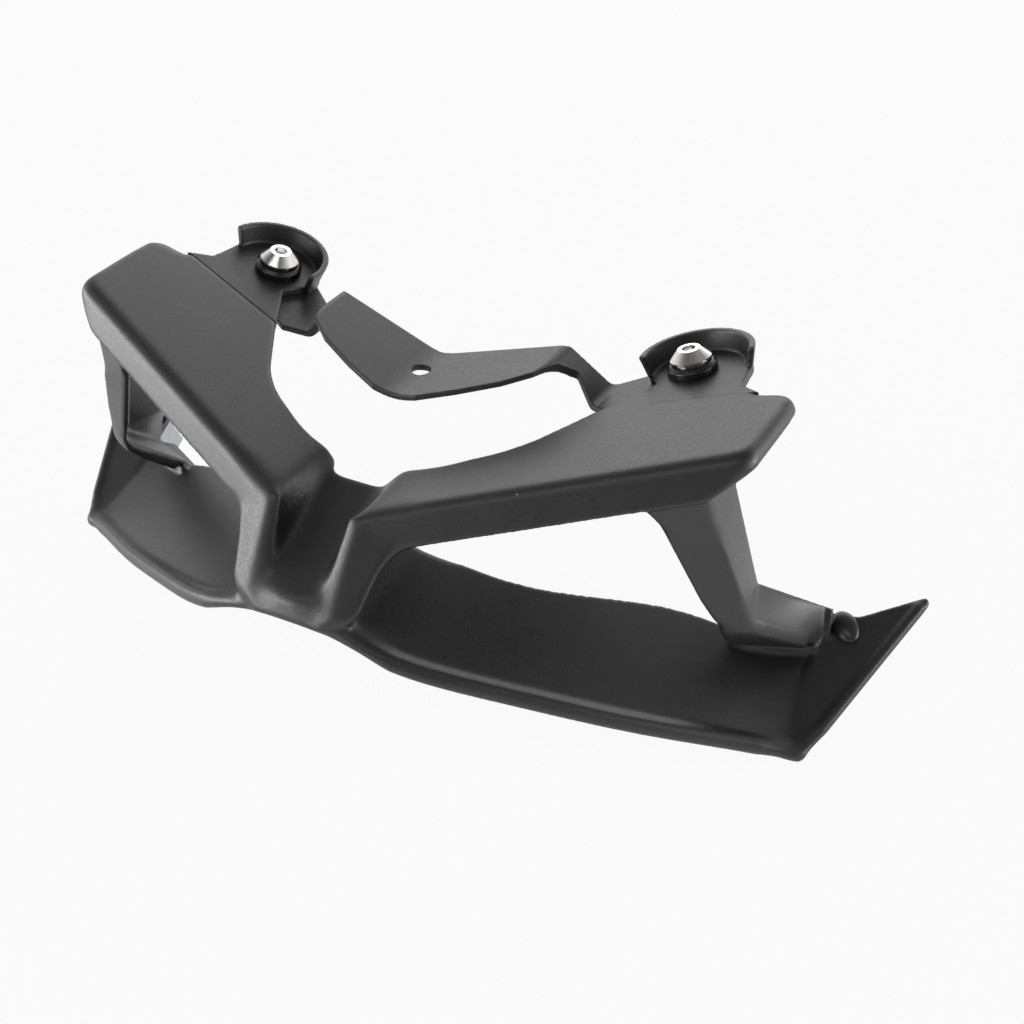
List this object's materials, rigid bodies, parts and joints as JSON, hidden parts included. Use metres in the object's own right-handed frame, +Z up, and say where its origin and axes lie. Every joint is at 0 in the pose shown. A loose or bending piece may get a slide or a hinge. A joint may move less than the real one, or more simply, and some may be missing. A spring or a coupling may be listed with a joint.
{
  "type": "front spoiler",
  "caption": "Swept motorbike front spoiler blade carried by arms and posts, held by a bent steel strap, ear plates and button screws in rubber grommets.",
  "frame": {"origin": "centre of the fixing hole in the middle of the strap", "axes": "+X to the right seen from the front, along the span; +Y to the rear; +Z up along the fixing hole's axis"},
  "size_m": [0.334, 0.1414, 0.1159],
  "materials": {
    "body_plastic": "fine moulded grain",
    "ear_plastic": "fine moulded grain",
    "strap_coat": "black satin powder coat",
    "stainless": "polished stainless steel",
    "rubber": "smooth black rubber",
    "plug_plastic": "satin moulded nylon",
    "zinc": "zinc plated"
  },
  "bodies": {
    "root": {"spoiler_body": "body_plastic", "right_ear": "ear_plastic", "left_ear": "ear_plastic", "strap": "strap_coat", "right_screw": "stainless", "left_screw": "stainless", "right_grommet": "rubber", "left_grommet": "rubber", "right_nut": "zinc", "left_nut": "zinc", "right_rivet": "plug_plastic", "left_rivet": "plug_plastic", "right_clip": "zinc", "left_clip": "zinc"}
  },
  "joints": []
}
